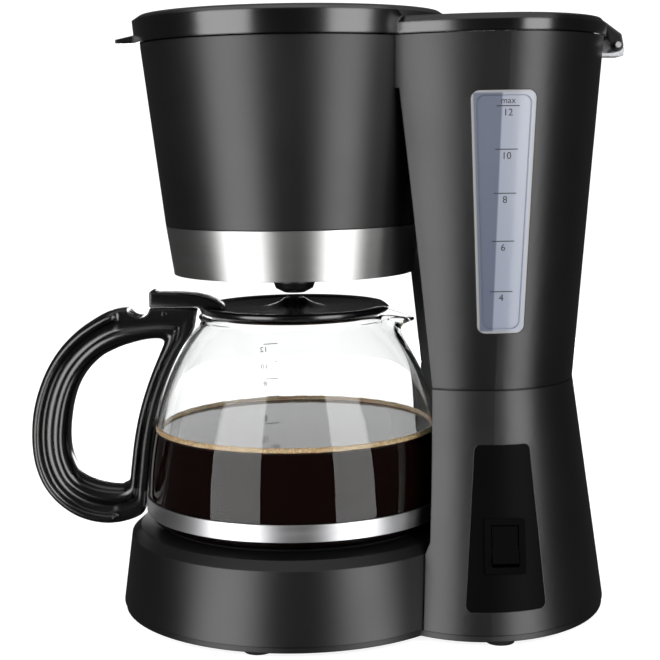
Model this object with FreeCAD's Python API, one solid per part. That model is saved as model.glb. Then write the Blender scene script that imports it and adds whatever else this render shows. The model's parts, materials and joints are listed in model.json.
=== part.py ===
import FreeCAD, Part
import math
import os

os.makedirs("parts", exist_ok=True)

V = FreeCAD.Vector
UP = V(0, 0, 1)

# Lengths are in millimetres. The carafe stands on the vertical axis x = 0, y = 0,
# the tower is at +x, the switch faces -y. export() moves the model to its origin.

# fits
slip = 0.3
snug = 0.1
touch = 0.05
over = 1.0

# walls
wall = 2.4
thin = 1.8
skin = 0.8

# stand
foot_height = 3.0
foot_radius = 8.0
foot_stem = 2.5
foot_taper = 1.0
plate_thickness = 3.0
plate_inset = 0.8
base_z = foot_height + plate_thickness
drum_foot_x = -19.0
drum_foot_inset = 14.7
tower_foot_rear = 5.5
tower_foot_y = 71.0

# drum under the carafe
drum_radius = 93.7
drum_shoulder_inset = 5.1
drum_shoulder_radius = drum_radius - drum_shoulder_inset
drum_shoulder_z = 42.0
ring_outer_inset = 4.6
ring_outer_radius = drum_shoulder_radius - ring_outer_inset
ring_outer_z = 46.2
hotplate_inset = 20.2
hotplate_radius = drum_radius - hotplate_inset
ring_width = 2.5
ring_inner_radius = hotplate_radius + ring_width
ring_top_z = 48.0
groove = 0.6

# hotplate and heater
hotplate_thickness = 1.6
hotplate_proud = 0.4
hotplate_chamfer = 0.6
seal_thickness = 1.2
seal_width = 5.0
line_y = 36.0
heater_leg_inset = 27.5
heater_leg = hotplate_radius - heater_leg_inset
heater_width = 16.0
heater_height = 20.0
heater_flange = 4.0
water_bore = 3.4
tube_wall = 1.6
spigot_radius = 4.2
spigot_length = 14.0
clamp_x = 10.0
clamp_screw_inset = 1.5
clamp_screw_y = hotplate_radius - clamp_screw_inset
clamp_width = 12.0
clamp_thickness = 1.6
thermostat_radius = 8.0
thermostat_height = 6.0
clip_half_width = 3.0
clip_foot = 7.0
fuse_radius = 2.2
fuse_length = 12.0
fuse_y = 22.0
pin_z = 40.5
pin_radius = 1.5
pin_length = 6.0

# tower sections: height, middle x, reach to the carafe, reach to the rear, half width
tower_gap = 0.8
tower_x = drum_radius + tower_gap
waist_lean = 5.0
rim_lean = 10.5
tower_foot = (3.0, tower_x, 67.0, 67.5, 82.0)
tower_waist = (122.6, tower_x + waist_lean, 57.0, 46.0, 52.6)
tower_rim = (297.0, tower_x + rim_lean, 83.6, 55.0, 75.0)
waist_gap = 0.6
deck_thickness = 2.4
rim_z = 296.0

# bay that the carafe stands in, as radii about the carafe axis
bay_step = 2.4
bay_drum_radius = drum_shoulder_radius + bay_step
bay_room = 2.4
bay_join_radius = 76.6
bay_join_z = 271.0
weld = 1.2
front_cut_y = 50.0

# filter housing and its steel band
housing_top_radius = 76.9
housing_low_radius = 66.3
band_low_radius = 62.6
band_hem = 4.0
housing_floor_z = 180.0
band_rise = 23.8
band_top_z = housing_floor_z + band_rise
band_drop = 1.4
band_low_z = housing_floor_z - band_drop
shelf_z = 277.5
shelf_height = 3.5
shelf_inner_radius = 70.2

# filter basket
basket_rim_z = 280.0
basket_top_radius = 69.4
basket_low_radius = 57.0
basket_floor_rise = 7.0
basket_floor_z = housing_floor_z + basket_floor_rise
outlet_radius = 8.4
outlet_bore = 6.4
outlet_room = 1.0
neck_bore = 4.2

# drip stop
stem_radius = 2.2
bowl_radius = 11.0
bowl_drop = 6.0
bowl_top_z = housing_floor_z - bowl_drop
bowl_height = 6.6
bowl_low_z = bowl_top_z - bowl_height
valve_radius = 7.0
valve_seal = 1.2
valve_head = 1.6
valve_travel = 2.6
outlet_low_z = bowl_top_z + valve_travel + slip
bowl_thickness = 2.2
bowl_hole = 1.2
spring_wire = 1.0
spring_radius = 5.3

# tank
tank_gap = 0.6
tank_floor_rise = 2.0
tank_top_z = 294.0
port_rear = 23.5
tank_port_x = tower_x + port_rear
port_radius = 5.0
riser_seal_width = 1.6
riser_seal_height = 3.0

# water line
hose_wall = 2.0
hose_bend = 24.0
riser_bore = 3.0
riser_bend = 14.0
arm_z = 288.5
spray_radius = 15.0
spray_height = 4.0
spray_holes = 6
spray_hole = 1.4
valve_body_radius = 8.0
valve_body_height = 18.0
ball_radius = 3.2
ball_travel = 1.6
ball_room = 1.0
valve_floor = 3.0

# lid
lid_gap = 0.4
lid_radius = 80.6
lid_skirt_radius = 79.6
lid_crown_radius = 76.8
lid_rise = 14.0
lid_top_z = rim_z + lid_rise
lid_bevel = 2.5
lid_shoulder_z = lid_top_z - lid_bevel
lid_wall = 2.2
tank_lid_rise = 8.6
tank_lid_z = rim_z + tank_lid_rise
tank_lid_out = 1.0
tank_lid_round = 3.0
lid_seat_radius = 74.0
tab_width = 30.0
tab_reach = 88.0
tab_height = 3.6

# lid hinge
hinge_rear = 71.5
hinge_x = tower_x + hinge_rear
hinge_z = 292.0
hinge_pin_radius = 1.5
knuckle_radius = 3.4
knuckle_width = 24.0
cheek_thickness = 4.0
cheek_out = 8.6
cheek_reach = hinge_x + cheek_out
cheek_low_z = 286.6
cheek_top_z = 298.6
notch_room = 1.0
notch_depth = 20.0
bridge_thickness = 1.4

# level window, as seen from the front
window_low_z = 151.2
window_top_z = 269.0
window_rear = 7.5
window_mid_x = tower_x + window_rear
window_low_width = 22.8
window_top_width = 31.6
window_corner = 4.0
window_border = 2.4
window_recess = 0.6

# switch panel and rocker
panel_low_z = 17.0
panel_top_z = 96.0
panel_rear = 8.0
panel_mid_x = tower_x + panel_rear
panel_low_width = 40.0
panel_top_width = 27.2
panel_corner = 3.0
panel_inset = 0.3
panel_flange = 3.0
rocker_z = 48.0
rocker_width = 13.0
rocker_height = 18.4
rocker_throw = 7.0
rocker_depth = 6.0
rocker_proud = 1.6
rocker_dip = 1.4
rocker_pivot_depth = 4.0
rocker_pin_radius = 1.2
rocker_room = 1.0
rocker_draft = 0.8
switch_wall = 1.6
switch_depth = 20.0
bezel = 1.6
bezel_height = 1.0
blade = 6.0
blade_spread = 4.0
blade_half_width = 1.5
blade_half_thickness = 0.4
blade_rise = 5.0

# carafe
glass = 2.6
heel_z = 54.0
belly_radius = 79.6
belly_z = 63.0
flank_inset = 3.3
flank_radius = belly_radius - flank_inset
flank_z = 92.0
shoulder_inset = 7.6
shoulder_radius = belly_radius - shoulder_inset
shoulder_z = 111.0
slope_inset = 13.8
slope_radius = belly_radius - slope_inset
slope_z = 127.0
collar_inset = 20.1
collar_radius = belly_radius - collar_inset
collar_z = 139.0
mouth_radius = 48.6
mouth_z = 153.6
lip_radius = 50.2
lip_z = 156.6
carafe_band_low_z = 54.0
carafe_band_height = 8.6
carafe_band_thickness = 0.8
spout_reach = 62.0
spout_z = 151.6
spout_half_width = 13.0
spout_tip = 3.2
spout_depth = 16.0

# carafe lid and its lever
cap_rim_radius = 50.2
cap_top_z = 161.0
cap_floor_z = 157.2
cap_cone_radius = 19.0
cap_neck_radius = 5.6
cap_neck_z = 164.6
cap_plug_radius = 44.6
cap_plug_depth = 7.0
lever_width = 16.0
lever_back_x = -75.8
lever_front_x = -40.0
lever_top_z = 168.0
thumb_top_z = 169.4
cap_pin_x = -68.0
cap_pin_z = 157.6
cap_pin_radius = 1.6
cap_pin_reach = 9.0
cap_bore = 3.0
cap_gap = 0.4
pour_half_width = 9.0
lever_ear = 8.0
ear_wall = 1.8

# handle
handle_reach = 61.4
handle_back_x = -belly_radius - handle_reach
handle_top_z = 160.6
handle_low_z = 45.4
handle_width = 24.0
handle_web = 8.0
handle_flange = 4.7
handle_hole_flange = 7.0
handle_gap = 0.5
notch_x = -83.0
notch_radius = 7.6
notch_dip = 5.0
handle_clear = 0.8
tongue_length = 14.0
tongue_screw_inset = 8.5
tongue_screw_sink = 3.0
handle_lip_room = 2.2
handle_heel_reach = 5.0
handle_root = 6.0
handle_neck = 7.0
handle_mouth_room = 1.4
ear_room_back = 6.0
ear_room_front = 16.0

# corners of the grip: in from its back, down from its top or up from its low end, rounding
grip_upper = ((45.0, 0.0, 30.0), (13.0, 20.5, 40.0), (0.0, 56.5, 36.0))
grip_lower = ((0.0, 31.5, 36.0), (17.0, 8.0, 32.0), (43.0, 0.0, 24.0))
hole_upper = ((69.5, 16.0, 4.0), (45.5, 19.0, 24.0), (28.5, 33.0, 26.0), (20.0, 56.5, 26.0))
hole_lower = ((20.0, 39.0, 22.0), (27.5, 21.0, 12.0), (50.0, 18.5, 5.0))
hole_front = ((56.5, 58.5, 60.0),)

# fasteners and electrics
screw_head_radius = 3.4
screw_head_height = 2.2
screw_radius = 1.6
screw_length = 12.0
slot_half = 0.4
slot_depth = 1.0
boss_radius = 4.2
boss_height = 18.0
boss_inset = 8.0
drum_screw_inset = 15.7
drum_screw_radius = drum_radius - drum_screw_inset
drum_screw_angles = (62, 142, 218, 298)
tower_screw_angles = (40, -40)
deck_screw_inset = 12.0
deck_screw_angles = (20, -20, 88, -88)
deck_screw_length = 6.0
housing_screw_angles = (34, -34)
housing_screw_z = 288.0
housing_screw_length = 3.0
gland_angle = 60
gland_z = 22.0
gland_radius = 6.0
gland_flange = 2.0
gland_lip = 2.5
gland_depth = 7.4
cord_bore = 3.6
block_rear = 27.5
block_x = tower_x + block_rear
block_front_y = -6.0
block_width = 24.0
block_length = 20.0
block_height = 14.0
wire_radius = 1.3
wire_bend = 3.5
live_y = 2.0
neutral_y = 12.0
neutral_z = 30.0
neutral_room = 2.3
neutral_rise = 14.0
switch_tag_y = -43.2
switch_tag_drop = 1.2

drum_foot_y = drum_radius - drum_foot_inset
tower_foot_x = tower_x + tower_foot_rear
bay_waist_radius = belly_radius + bay_room
hotplate_z = ring_top_z + hotplate_proud
carafe_z = hotplate_z
tower_slope = (tower_foot[4] - tower_waist[4]) / (tower_waist[0] - tower_foot[0])
middle_x = (cheek_reach + handle_back_x) / 2


def export(node, shape):
    moved = shape.copy()
    moved.translate(V(-middle_x, 0, 0))
    moved.exportStep("parts/" + node + ".step")
    print(node, len(moved.Solids), "solids", round(moved.Volume / 1000, 2), "cm3", moved.isValid())


def rod(radius, low, high, x=0.0, y=0.0):
    return Part.makeCylinder(radius, high - low, V(x, y, low))


def rod_y(radius, x, z, y0, y1):
    return Part.makeCylinder(radius, y1 - y0, V(x, y0, z), V(0, 1, 0))


def box(x0, x1, y0, y1, z0, z1):
    return Part.makeBox(x1 - x0, y1 - y0, z1 - z0, V(x0, y0, z0))


def turned(profile):
    points = [V(r, 0, z) for r, z in profile]
    face = Part.Face(Part.makePolygon(points + points[:1]))
    return face.revolve(V(0, 0, 0), UP, 360)


def rounded(corners, place):
    """Closed wire through corners (u, v, radius), each corner rounded by its radius."""
    count = len(corners)
    edges = []
    starts = []
    for i, (u, v, radius) in enumerate(corners):
        here = V(u, v, 0)
        before = (V(corners[i - 1][0], corners[i - 1][1], 0) - here).normalize()
        after = (V(corners[(i + 1) % count][0], corners[(i + 1) % count][1], 0) - here).normalize()
        half = before.getAngle(after) / 2
        reach = radius / math.tan(half)
        middle = here + (before + after).normalize() * (radius / math.sin(half) - radius)
        starts.append((here + before * reach, middle, here + after * reach))
    for i, (first, middle, last) in enumerate(starts):
        edges.append(Part.Arc(place(first), place(middle), place(last)).toShape())
        following = starts[(i + 1) % count][0]
        if last.distanceToPoint(following) > 1e-4:
            edges.append(Part.LineSegment(place(last), place(following)).toShape())
    return Part.Wire(edges)


def front_prism(corners, y0, y1):
    """Prism along y over an outline given in x and z."""
    wire = rounded(corners, lambda p: V(p.x, y0, p.y))
    return Part.Face(wire).extrude(V(0, y1 - y0, 0))


def tower_level(z, inset=0.0):
    """Half-width, reaches and middle of the tower at a height."""
    low, high = (tower_foot, tower_waist) if z < tower_waist[0] else (tower_waist, tower_rim)
    share = (z - low[0]) / (high[0] - low[0])
    x, front, rear, half = [a + (b - a) * share for a, b in zip(low[1:], high[1:])]
    return x, front - inset, rear - inset, half - inset


def egg(z, inset=0.0):
    """Outline of the tower: two half ellipses that share their width."""
    x, front, rear, half = tower_level(z, inset)
    edges = []
    for reach, side in ((rear, 1), (-front, -1)):
        arc = Part.Arc(V(0, -side, 0), V(1, 0, 0), V(0, side, 0)).toShape()
        scale = FreeCAD.Matrix()
        scale.scale(reach, half, 1)
        edge = arc.transformGeometry(scale)
        edge.translate(V(x, 0, z))
        edges.append(edge)
    return Part.Wire(edges)


def egg_solid(z0, z1, inset=0.0):
    return Part.makeLoft([egg(z0, inset), egg(z1, inset)], True, True)


def housing_radius(z):
    share = (z - band_top_z) / (rim_z - band_top_z)
    return housing_low_radius + (housing_top_radius - housing_low_radius) * share


def band_radius(z):
    share = (z - band_low_z) / (band_top_z - band_low_z)
    return band_low_radius + (housing_low_radius - band_low_radius) * share


def drum_side(z):
    share = (z - base_z) / (drum_shoulder_z - base_z)
    return drum_radius + (drum_shoulder_radius - drum_radius) * share


def lower_bay(more):
    low = foot_height - over
    return turned([(0, low), (drum_side(low) + more, low), (drum_shoulder_radius + more, drum_shoulder_z),
                   (bay_drum_radius + more - groove, ring_top_z),
                   (bay_waist_radius + more - groove, tower_waist[0]),
                   (bay_waist_radius + more - groove, tower_waist[0] + over), (0, tower_waist[0] + over)])


def upper_bay(more):
    high = rim_z + over
    low = tower_waist[0] - over
    return turned([(0, low), (bay_waist_radius + more, low),
                   (bay_waist_radius + more, tower_waist[0]), (bay_join_radius + more, bay_join_z),
                   (housing_radius(bay_join_z) + more - weld, bay_join_z),
                   (housing_radius(high) + more - weld, high),
                   (0, high)])


def lower_tower_volume(inset, z0, z1):
    return egg_solid(z0, z1, inset).cut(lower_bay(groove + inset))


def upper_tower_volume(inset, z0, z1):
    return egg_solid(z0, z1, inset).cut(upper_bay(inset))


def screw_up(x, y, z, length=screw_length):
    """Screw driven upwards, its head resting under z."""
    low = z - screw_head_height
    head = rod(screw_head_radius, low, z, x, y)
    reach = screw_head_radius
    slot = box(x - reach, x + reach, y - slot_half, y + slot_half, low, low + slot_depth)
    return head.cut(slot).fuse(rod(screw_radius, z, z + length, x, y))


def pipe(points, bend, radius, bore=0.0):
    """Tube along straight runs joined by tangent arcs."""
    edges = []
    last = points[0]
    for before, here, after in zip(points, points[1:], points[2:]):
        back = (before - here).normalize()
        on = (after - here).normalize()
        half = back.getAngle(on) / 2
        start = here + back * (bend / math.tan(half))
        end = here + on * (bend / math.tan(half))
        middle = here + (back + on).normalize() * (bend / math.sin(half) - bend)
        edges.append(Part.LineSegment(last, start).toShape())
        edges.append(Part.Arc(start, middle, end).toShape())
        last = end
    edges.append(Part.LineSegment(last, points[-1]).toShape())
    path = Part.Wire(edges)
    direction = points[1] - points[0]
    solids = []
    for size in (radius, bore):
        if size > 0:
            ring = Part.Wire(Part.Circle(points[0], direction, size).toShape())
            solids.append(path.makePipeShell([ring], True, False))
    return solids[0].cut(solids[1]) if len(solids) > 1 else solids[0]


hose_radius = spigot_radius + hose_wall
riser_radius = spigot_radius
heater_top = hotplate_z - hotplate_thickness
heater_low = heater_top - heater_height
water_z = heater_low + water_bore + tube_wall
ledge_z = heater_top - seal_thickness
deck_z = tower_waist[0] - deck_thickness
floor_z = tower_waist[0] + wall
tank_floor_z = floor_z + tank_floor_rise
passage_half = line_y + hose_radius + 3
passage_low = water_z - hose_radius - 2
passage_top = water_z + hose_radius + 1
lid_low_z = rim_z + lid_gap


def tower_point(angle, z, inset=0.0):
    """Point of the tower's rear half at an angle, and the outward normal there."""
    turn = math.radians(angle)
    x, front, rear, half = tower_level(z, inset)
    up_x, up_front, up_rear, up_half = tower_level(z + 1, inset)
    point = V(x + rear * math.cos(turn), half * math.sin(turn), z)
    above = V(up_x + up_rear * math.cos(turn), up_half * math.sin(turn), z + 1)
    around = V(-rear * math.sin(turn), half * math.cos(turn), 0)
    return point, around.cross(above - point).normalize()


drum_turns = [math.radians(angle) for angle in drum_screw_angles]
drum_screws = [(drum_screw_radius * math.cos(t), drum_screw_radius * math.sin(t)) for t in drum_turns]
tower_bosses = [tower_point(a, base_z, boss_inset)[0] for a in tower_screw_angles]
tower_screws = [(p.x, p.y) for p in tower_bosses]
deck_points = [tower_point(a, tower_waist[0], deck_screw_inset)[0] for a in deck_screw_angles]
deck_screws = [(p.x, p.y) for p in deck_points]
feet_at = [(drum_foot_x, drum_foot_y), (drum_foot_x, -drum_foot_y),
           (tower_foot_x, tower_foot_y), (tower_foot_x, -tower_foot_y)]


def passage():
    """Way for the hoses and wires between drum and tower."""
    start = hotplate_radius - seal_width
    return box(start, tank_port_x, -passage_half, passage_half, passage_low, passage_top)


def boss(x, y, low, high):
    return rod(boss_radius, low, high, x, y)


def pilots(places, low, high):
    return Part.makeCompound([rod(screw_radius + touch, low, high, x, y) for x, y in places])


def feet():
    solids = []
    for x, y in feet_at:
        pad = Part.makeCone(foot_radius - foot_taper, foot_radius, foot_height, V(x, y, 0))
        solids.append(pad.fuse(rod(foot_stem, foot_height, base_z, x, y)).removeSplitter())
    return Part.makeCompound(solids)


def base_plate():
    plate = rod(drum_radius - plate_inset, foot_height, base_z)
    plate = plate.fuse(egg_solid(foot_height, base_z, plate_inset)).removeSplitter()
    for x, y in feet_at:
        plate = plate.cut(rod(foot_stem + touch, foot_height, base_z, x, y))
    return plate.cut(pilots(drum_screws + tower_screws, foot_height, base_z))


def base_drum():
    under = ledge_z - wall
    shell = turned([(drum_radius, base_z), (drum_shoulder_radius, drum_shoulder_z),
                    (ring_outer_radius, ring_outer_z), (ring_inner_radius, ring_top_z),
                    (hotplate_radius + slip, ring_top_z), (hotplate_radius + slip, ledge_z),
                    (hotplate_radius - seal_width, ledge_z), (hotplate_radius - seal_width, under),
                    (ring_outer_radius - wall, under),
                    (drum_shoulder_radius - wall, drum_shoulder_z - wall),
                    (drum_radius - wall, base_z)])
    for x, y in drum_screws:
        shell = shell.fuse(boss(x, y, base_z, under + touch))
    for side in (1, -1):
        shell = shell.fuse(boss(clamp_x, side * clamp_screw_y, heater_low, under + touch))
    shell = shell.cut(passage()).removeSplitter()
    shell = shell.cut(pilots(drum_screws, base_z, base_z + screw_length + over))
    clamp_holes = [(clamp_x, clamp_screw_y), (clamp_x, -clamp_screw_y)]
    return shell.cut(pilots(clamp_holes, heater_low, heater_low + screw_length))


def hotplate():
    low = heater_top
    return turned([(0, low), (hotplate_radius, low), (hotplate_radius, hotplate_z - hotplate_chamfer),
                   (hotplate_radius - hotplate_chamfer, hotplate_z), (0, hotplate_z)])


def hotplate_seal():
    outer = rod(hotplate_radius, ledge_z, heater_top)
    return outer.cut(rod(hotplate_radius - seal_width + touch, ledge_z, heater_top))


def u_form(face):
    """Sweep of a section at y = line_y round a U that opens towards the tower."""
    leg = face.extrude(V(heater_leg, 0, 0))
    other = leg.mirror(V(0, 0, 0), V(0, 1, 0))
    return face.revolve(V(0, 0, 0), UP, 180).fuse([leg, other]).removeSplitter()


def section_circle(radius):
    return Part.Face(Part.Wire(Part.Circle(V(0, line_y, water_z), V(1, 0, 0), radius).toShape()))


def heater():
    half = heater_width / 2
    flange_z = heater_top - heater_flange
    corners = [V(0, line_y - half, heater_top), V(0, line_y + half, heater_top),
               V(0, line_y + half, flange_z), V(0, line_y + spigot_radius, flange_z),
               V(0, line_y + spigot_radius, water_z), V(0, line_y - spigot_radius, water_z),
               V(0, line_y - spigot_radius, flange_z), V(0, line_y - half, flange_z)]
    bar = u_form(Part.Face(Part.makePolygon(corners + corners[:1])))
    bar = bar.fuse(u_form(section_circle(water_bore + tube_wall)))
    for side in (1, -1):
        end = V(heater_leg, side * line_y, water_z)
        bar = bar.fuse(Part.makeCylinder(spigot_radius, spigot_length, end, V(1, 0, 0)))
        bar = bar.cut(Part.makeCylinder(water_bore, spigot_length, end, V(1, 0, 0)))
        pin_at = V(heater_leg, side * line_y, pin_z)
        bar = bar.fuse(Part.makeCylinder(pin_radius, pin_length, pin_at, V(1, 0, 0)))
    return bar.cut(u_form(section_circle(water_bore)))


def heater_clamp():
    low = heater_low - clamp_thickness
    reach = clamp_screw_y + boss_radius
    bar = box(clamp_x - clamp_width / 2, clamp_x + clamp_width / 2, -reach, reach, low, heater_low)
    return bar.cut(pilots([(clamp_x, clamp_screw_y), (clamp_x, -clamp_screw_y)], low, heater_low))


def thermostat():
    low = heater_top - thermostat_height
    body = rod(thermostat_radius, low, heater_top, clamp_x)
    for side in (1, -1):
        x = clamp_x + side * blade_spread
        tag = box(x - blade_half_width, x + blade_half_width, -blade_half_thickness, blade_half_thickness,
                  low - blade, low)
        body = body.fuse(tag)
    return body.removeSplitter()


def thermostat_clip():
    high = heater_top - thermostat_height
    x0 = clamp_x - clip_half_width
    x1 = clamp_x + clip_half_width
    reach = thermostat_radius + over
    strip = box(x0, x1, reach, reach + skin, heater_low, high)
    strip = strip.fuse(box(x0, x1, reach - clip_half_width, reach + skin, high - skin, high))
    return strip.fuse(box(x0, x1, reach, reach + clip_foot, heater_low, heater_low + skin)).removeSplitter()


def thermal_fuse():
    start = V(clamp_x - fuse_length / 2, -fuse_y, heater_low + fuse_radius)
    return Part.makeCylinder(fuse_radius, fuse_length, start, V(1, 0, 0))


def lower_tower():
    shell = lower_tower_volume(0, base_z, tower_waist[0])
    outer = shell.copy()
    shell = shell.cut(lower_tower_volume(wall, base_z - over, deck_z))
    for p in tower_bosses:
        shell = shell.fuse(boss(p.x, p.y, base_z, base_z + boss_height).common(outer))
    line = egg_solid(tower_waist[0] - waist_gap, tower_waist[0], -over)
    line = line.cut(egg_solid(tower_waist[0] - waist_gap, tower_waist[0], waist_gap))
    shell = shell.cut(line).cut(passage())
    shell = shell.cut(pilots(tower_screws, base_z, base_z + screw_length + over))
    shell = shell.cut(pilots(deck_screws, deck_z, tower_waist[0]))
    shell = shell.cut(port_holes(deck_z, tower_waist[0]))
    shell = shell.cut(front_prism(panel_outline(0), -drum_radius, -front_cut_y))
    point, out = tower_point(gland_angle, gland_z)
    return shell.cut(Part.makeCylinder(gland_radius + touch, 4 * wall, point - out * 2 * wall, out))


def port_holes(low, high):
    cold = rod(port_radius + touch, low, high, tank_port_x, -line_y)
    return cold.fuse(rod(riser_radius + touch, low, high, tank_port_x, line_y))


def tapered(mid, low_z, top_z, low_width, top_width, corner, inset):
    low = low_width / 2 - inset
    top = top_width / 2 - inset
    return [(mid - low, low_z + inset, corner), (mid + low, low_z + inset, corner),
            (mid + top, top_z - inset, corner), (mid - top, top_z - inset, corner)]


def panel_outline(inset):
    return tapered(panel_mid_x, panel_low_z, panel_top_z, panel_low_width, panel_top_width,
                   panel_corner, inset)


def window_outline(inset):
    return tapered(window_mid_x, window_low_z, window_top_z, window_low_width, window_top_width,
                   window_corner, inset)


def front_slab(z0, z1, outer, inner):
    """Curved slab of the tower's skin between two depths."""
    return egg_solid(z0, z1, outer).cut(egg_solid(z0 - over, z1 + over, inner))


def level_window():
    low = window_low_z - over
    high = window_top_z + over
    pane = front_slab(low, high, touch, wall + tank_gap - touch)
    pane = pane.common(front_prism(window_outline(touch), -drum_radius, -front_cut_y))
    hollow = front_slab(low, high, -over, touch + window_recess)
    return pane.cut(hollow.common(front_prism(window_outline(window_border), -drum_radius, -front_cut_y)))


def switch_panel():
    low = panel_low_z - 2 * panel_flange
    high = panel_top_z + 2 * panel_flange
    panel = front_slab(low, high, panel_inset, wall + touch)
    panel = panel.common(front_prism(panel_outline(touch), -drum_radius, -front_cut_y))
    rim = front_slab(low, high, wall + touch, wall + touch + thin)
    rim = rim.common(front_prism(panel_outline(-panel_flange), -drum_radius, -front_cut_y))
    panel = panel.fuse(rim).removeSplitter()
    return panel.cut(at_switch(switch_block(touch))).cut(at_switch(switch_rim(touch)))


def arm_direction():
    return V(-tank_port_x, -line_y, 0).normalize()


def arm_slot():
    half = riser_radius + slip
    end = housing_top_radius + notch_depth
    slot = box(shelf_inner_radius, end, -half, half, arm_z - half, rim_z + over)
    slot.rotate(V(0, 0, 0), UP, math.degrees(math.atan2(line_y, tank_port_x)))
    return slot


def cheek_half():
    return knuckle_width / 2 + slip + cheek_thickness


def housing_outside(more):
    seat = housing_low_radius - skin - touch + more
    foot = band_radius(housing_floor_z) - skin - touch + more
    return turned([(0, housing_floor_z), (foot, housing_floor_z), (seat, band_top_z),
                   (housing_low_radius + more, band_top_z), (housing_top_radius + more, rim_z), (0, rim_z)])


def housing_inside():
    seat = skin + touch + wall
    foot = band_radius(housing_floor_z) - seat
    low = housing_floor_z + wall
    high = rim_z + over
    shelf_low = shelf_z - shelf_height
    return turned([(0, low), (foot, low), (housing_low_radius - seat, band_top_z),
                   (housing_radius(shelf_low) - wall, shelf_low), (shelf_inner_radius, shelf_low),
                   (shelf_inner_radius, shelf_z), (housing_radius(shelf_z) - wall, shelf_z),
                   (housing_radius(high) - wall, high), (0, high)])


def radial_rods(radius, start, end):
    solids = []
    for angle in housing_screw_angles:
        pin = Part.makeCylinder(radius, end - start, V(start, 0, housing_screw_z), V(1, 0, 0))
        pin.rotate(V(0, 0, 0), UP, angle)
        solids.append(pin)
    return Part.makeCompound(solids)


housing_screw_at = housing_radius(housing_screw_z) - wall


def filter_housing():
    body = housing_outside(0).cut(housing_inside())
    body = body.cut(rod(outlet_radius + outlet_room, housing_floor_z, housing_floor_z + wall))
    body = body.cut(arm_slot())
    spot = radial_rods(screw_head_radius + snug, housing_screw_at - wall, housing_screw_at + skin)
    holes = radial_rods(screw_radius + touch, housing_screw_at, housing_screw_at + 2 * wall)
    return body.cut(spot).cut(holes)


def housing_screws():
    start = housing_screw_at + skin
    heads = radial_rods(screw_head_radius, start - screw_head_height, start)
    shanks = radial_rods(screw_radius, start, start + housing_screw_length)
    return Part.makeCompound([head.fuse(shank) for head, shank in zip(heads.Solids, shanks.Solids)])


def tank_shell():
    body = upper_tower_volume(0, tower_waist[0], rim_z)
    body = body.cut(upper_tower_volume(wall, floor_z, rim_z + over)).cut(housing_outside(touch))
    body = body.cut(arm_slot())
    body = body.cut(front_prism(window_outline(0), -drum_radius, -front_cut_y))
    room = cheek_half() + notch_room
    notch_low = cheek_low_z - notch_room
    body = body.cut(box(hinge_x - notch_depth, hinge_x, -room, room, notch_low, rim_z + over))
    screw_end = housing_screw_at + skin + housing_screw_length
    body = body.cut(radial_rods(screw_radius + touch, housing_screw_at, screw_end))
    body = body.cut(pilots(deck_screws, tower_waist[0], floor_z))
    return body.cut(port_holes(tower_waist[0], floor_z))


def steel_band():
    hem = band_low_z + skin
    top = band_top_z - slip
    foot = band_radius(band_low_z)
    return turned([(foot - band_hem, band_low_z), (foot, band_low_z), (band_radius(top), top),
                   (band_radius(top) - skin, top), (band_radius(hem) - skin, hem), (foot - band_hem, hem)])


def bracket_root():
    x, front, rear, half = tower_level(cheek_low_z, wall + tank_gap + thin / 2)
    return x + rear


def cheek_outline():
    """Side of the hinge bracket: a hook with a blunt tip and a small lip."""
    root = bracket_root()
    lip_x = hinge_x + knuckle_radius + thin
    return [(root, cheek_low_z, 0.5), (cheek_reach - 2, cheek_low_z + 1, 1),
            (cheek_reach, hinge_z - 2, 0.5), (cheek_reach, hinge_z, 0.5),
            (lip_x, hinge_z + 1, 0.8), (lip_x - 3, cheek_top_z, 0.8),
            (hinge_x - 5, cheek_top_z, 1), (hinge_x - 6, tank_top_z, 0.5), (root, tank_top_z, 0.2)]


def water_tank():
    gap = wall + tank_gap
    tank = upper_tower_volume(gap, tank_floor_z, tank_top_z)
    tank = tank.cut(upper_tower_volume(gap + thin, tank_floor_z + thin, tank_top_z + over))
    inside = knuckle_width / 2 + slip
    for y0 in (-cheek_half(), inside):
        tank = tank.fuse(front_prism(cheek_outline(), y0, y0 + cheek_thickness))
    bridge_top = cheek_low_z + bridge_thickness
    bridge = box(bracket_root(), hinge_x + knuckle_radius, -inside, inside, cheek_low_z, bridge_top)
    tank = tank.fuse(bridge)
    tank = tank.cut(rod_y(hinge_pin_radius + touch, hinge_x, hinge_z, -cheek_half(), cheek_half()))
    tank = tank.cut(arm_slot())
    return tank.cut(port_holes(tank_floor_z, tank_floor_z + thin))


def hinge_pin():
    return rod_y(hinge_pin_radius, hinge_x, hinge_z, -cheek_half(), cheek_half())


def filter_basket():
    flange = housing_radius(shelf_z) - wall - slip
    top = basket_floor_z + thin
    return turned([(outlet_bore, outlet_low_z), (outlet_radius, outlet_low_z),
                   (outlet_radius, basket_floor_z), (basket_low_radius, basket_floor_z),
                   (basket_top_radius, shelf_z), (flange, shelf_z),
                   (flange, basket_rim_z), (basket_top_radius - thin, basket_rim_z),
                   (basket_low_radius - thin, top), (neck_bore, top), (neck_bore, basket_floor_z),
                   (outlet_bore, basket_floor_z)])


valve_seat_z = basket_floor_z + thin + touch
bowl_floor_z = bowl_low_z + bowl_thickness


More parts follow.
